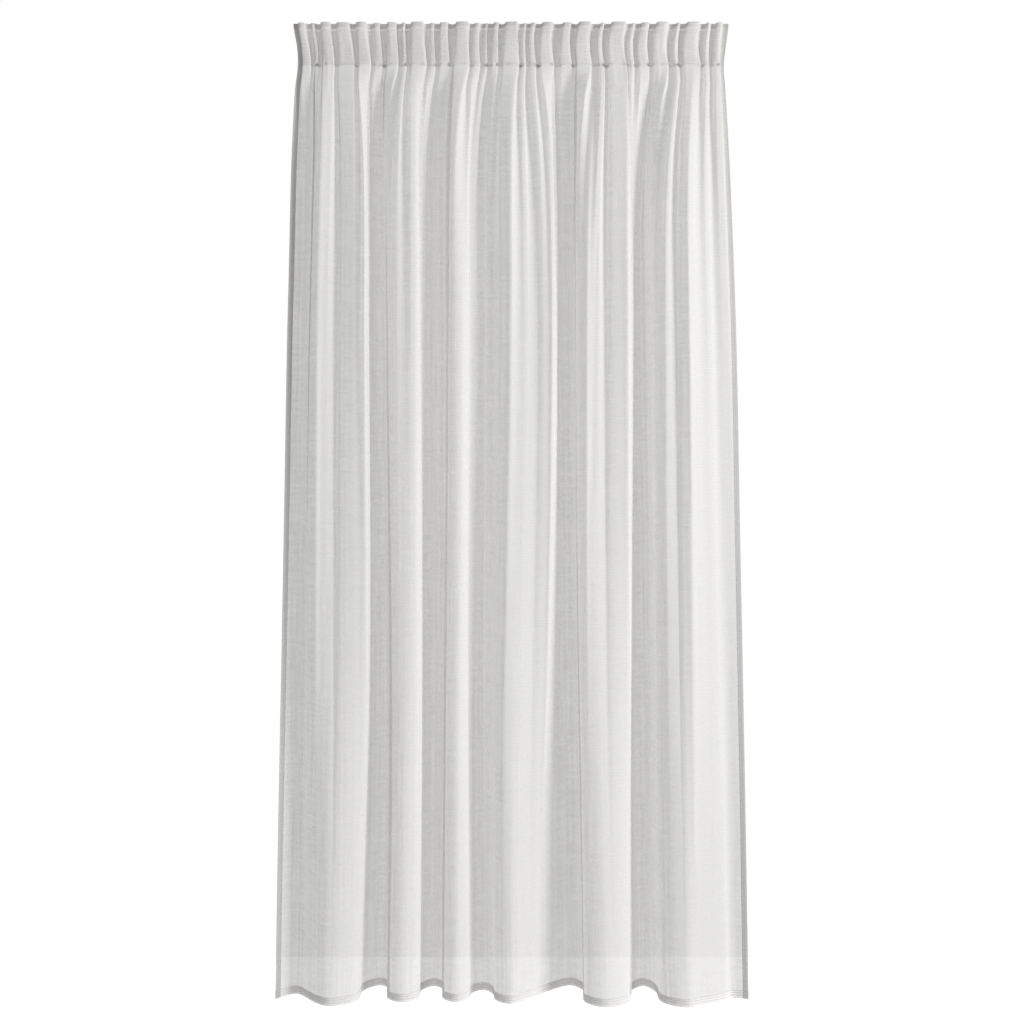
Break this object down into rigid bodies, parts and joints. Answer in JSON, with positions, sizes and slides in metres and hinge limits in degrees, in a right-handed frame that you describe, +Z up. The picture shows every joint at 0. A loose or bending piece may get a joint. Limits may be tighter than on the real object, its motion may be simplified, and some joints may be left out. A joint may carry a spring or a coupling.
{
  "type": "curtain panel",
  "caption": "Long sheer curtain panel with a gathered, pleated heading on a sewn tape, hanging in uneven deep folds to a narrow turned hem.",
  "frame": {"origin": "middle of the panel's top edge, where it hangs", "axes": "+Z up along the panel's drop, +X across it to the viewer's right, -Y towards the viewer in front"},
  "size_m": [1.187, 0.1141, 2.45],
  "materials": {
    "sheer_cloth": "sheer plain weave with fine uneven yarns, pale neutral grey, matt",
    "woven_tape": "close woven white tape, matt"
  },
  "bodies": {
    "root": {"panel_cloth": "sheer_cloth", "heading_tape": "woven_tape"}
  },
  "joints": []
}
